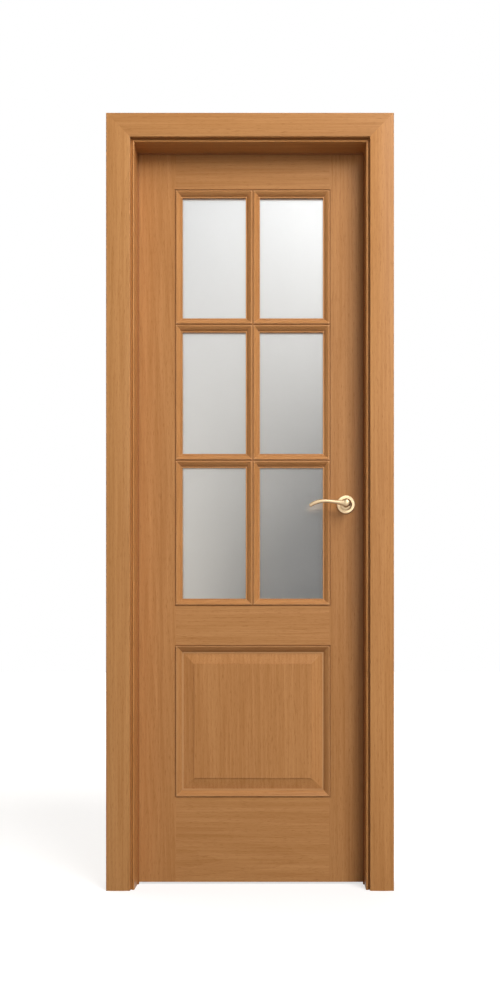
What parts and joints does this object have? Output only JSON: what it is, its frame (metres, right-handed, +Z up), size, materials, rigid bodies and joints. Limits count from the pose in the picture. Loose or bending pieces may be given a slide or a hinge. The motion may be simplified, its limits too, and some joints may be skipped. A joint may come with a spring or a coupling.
{
  "type": "part-glazed wooden door in frame",
  "caption": "Hinged oak door leaf with frosted glass lights over a raised panel, hung in a rebated frame with mitred casings and a sprung lever handle.",
  "frame": {"origin": "on the wall face of the hinge jamb, at its foot and in the middle of its depth", "axes": "+X from the hinge jamb to the strike jamb, +Y the way the leaf opens, +Z up from the floor"},
  "size_m": [0.798, 0.176, 2.116],
  "materials": {
    "frame_oak": "honey oak with satin lacquer",
    "casing_oak": "honey oak with satin lacquer",
    "leaf_oak": "honey oak with satin lacquer",
    "frosted_glass": "acid-etched, translucent",
    "satin_brass": "pale satin brass",
    "spindle_steel": "bright drawn steel"
  },
  "bodies": {
    "frame": {"hinge_jamb": "frame_oak", "strike_jamb": "frame_oak", "head_jamb": "frame_oak", "front_casing_left": "casing_oak", "front_casing_right": "casing_oak", "front_casing_head": "casing_oak", "back_casing_left": "casing_oak", "back_casing_right": "casing_oak", "back_casing_head": "casing_oak", "strike_plate": "satin_brass", "hinge_pins": "satin_brass", "top_hinge_frame_half": "satin_brass", "middle_hinge_frame_half": "satin_brass", "bottom_hinge_frame_half": "satin_brass"},
    "leaf": {"back_level_beads": "leaf_oak", "back_level_mouldings": "leaf_oak", "back_rosette": "satin_brass", "back_upright_beads": "leaf_oak", "back_upright_mouldings": "leaf_oak", "bottom_hinge_leaf_half": "satin_brass", "bottom_left_pane": "frosted_glass", "bottom_rail": "leaf_oak", "bottom_right_pane": "frosted_glass", "front_level_beads": "leaf_oak", "front_level_mouldings": "leaf_oak", "front_rosette": "satin_brass", "front_upright_beads": "leaf_oak", "front_upright_mouldings": "leaf_oak", "hinge_stile": "leaf_oak", "latch_bolt": "satin_brass", "latch_faceplate": "satin_brass", "lock_rail": "leaf_oak", "lock_stile": "leaf_oak", "lower_glazing_bar": "leaf_oak", "middle_hinge_leaf_half": "satin_brass", "middle_left_pane": "frosted_glass", "middle_right_pane": "frosted_glass", "raised_panel": "leaf_oak", "top_hinge_leaf_half": "satin_brass", "top_left_pane": "frosted_glass", "top_rail": "leaf_oak", "top_right_pane": "frosted_glass", "upper_glazing_bar": "leaf_oak", "upright_glazing_bar": "leaf_oak"},
    "handle": {"front_lever": "satin_brass", "back_lever": "satin_brass", "spindle": "spindle_steel"}
  },
  "joints": [
    {"name": "leaf_swing", "type": "hinge", "parent": "frame", "child": "leaf", "pos_m": [0.0325, 0.064, 1.046], "axis": [0, 0, 1], "range_deg": [0, 170]},
    {"name": "lever_turn", "type": "hinge", "parent": "leaf", "child": "handle", "pos_m": [0.618, 0.0375, 1.056], "axis": [0, -1, 0], "range_deg": [0, 40], "stiffness_Nm_per_rad": 1, "springref_deg": -34.38}
  ]
}
